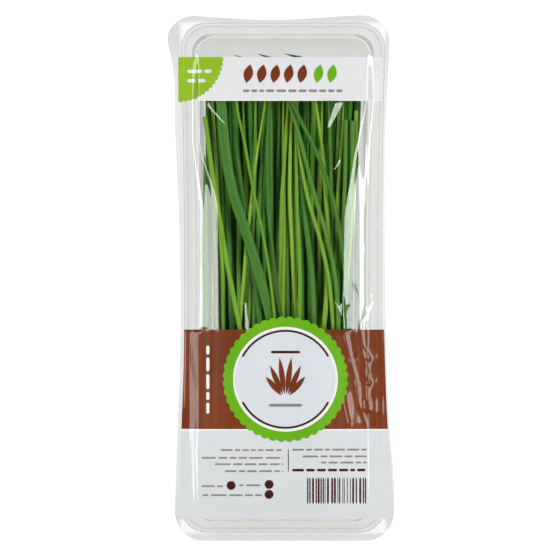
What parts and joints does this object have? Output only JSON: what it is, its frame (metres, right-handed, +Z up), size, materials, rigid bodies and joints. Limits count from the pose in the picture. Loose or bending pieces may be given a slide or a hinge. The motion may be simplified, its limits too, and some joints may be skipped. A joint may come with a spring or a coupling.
{
  "type": "chive bunch",
  "caption": "Bunch of cut chive leaves lying in a clear thermoformed tray, closed by a clear lid film printed with plain panels and a scalloped seal.",
  "frame": {"origin": "under the middle of the tray's floor, in the plane it stands on", "axes": "+Z up through the lid film, +Y along the tray towards the end with the white panel and the peel mark, +X to the right of that"},
  "size_m": [0.1075, 0.2583, 0.0238],
  "materials": {
    "tray_plastic": "clear thermoformed plastic, glossy",
    "film": "clear film, glossy",
    "white_print": "white print on film",
    "brown_print": "brown print on film",
    "seal_print": "green print on film",
    "peel_print": "yellow-green print on film",
    "deep_leaf": "dark green leaf, satin",
    "leaf": "green leaf, satin",
    "bright_leaf": "light green leaf, satin"
  },
  "bodies": {
    "root": {"tray": "tray_plastic", "lower_leaves": "deep_leaf", "upper_lower_leaves": "deep_leaf", "leaf_01": "bright_leaf", "leaf_02": "leaf", "leaf_03": "deep_leaf", "leaf_04": "leaf", "leaf_05": "bright_leaf", "leaf_06": "leaf", "leaf_07": "leaf", "leaf_08": "leaf", "leaf_09": "leaf", "leaf_10": "leaf", "leaf_11": "leaf", "leaf_12": "deep_leaf", "leaf_13": "bright_leaf", "leaf_14": "bright_leaf", "leaf_15": "deep_leaf", "leaf_16": "leaf", "leaf_17": "deep_leaf", "leaf_18": "deep_leaf", "leaf_19": "leaf", "leaf_20": "deep_leaf", "leaf_21": "bright_leaf", "leaf_22": "deep_leaf", "leaf_23": "bright_leaf", "leaf_24": "leaf", "leaf_25": "leaf", "leaf_26": "deep_leaf", "leaf_27": "leaf", "leaf_28": "deep_leaf", "leaf_29": "bright_leaf", "leaf_30": "bright_leaf", "leaf_31": "leaf", "leaf_32": "bright_leaf", "leaf_33": "leaf", "leaf_34": "leaf", "leaf_35": "leaf", "leaf_36": "bright_leaf", "leaf_37": "bright_leaf", "leaf_38": "bright_leaf", "leaf_39": "leaf", "leaf_40": "bright_leaf", "leaf_41": "bright_leaf", "leaf_42": "bright_leaf", "leaf_43": "leaf", "leaf_44": "leaf", "leaf_45": "leaf", "leaf_46": "bright_leaf", "lid_film": "film", "top_panel": "white_print", "peel_mark": "peel_print", "brown_band_left": "brown_print", "brown_band_right": "brown_print", "info_panel": "white_print", "seal_ring": "seal_print", "seal_face": "white_print"}
  },
  "joints": []
}
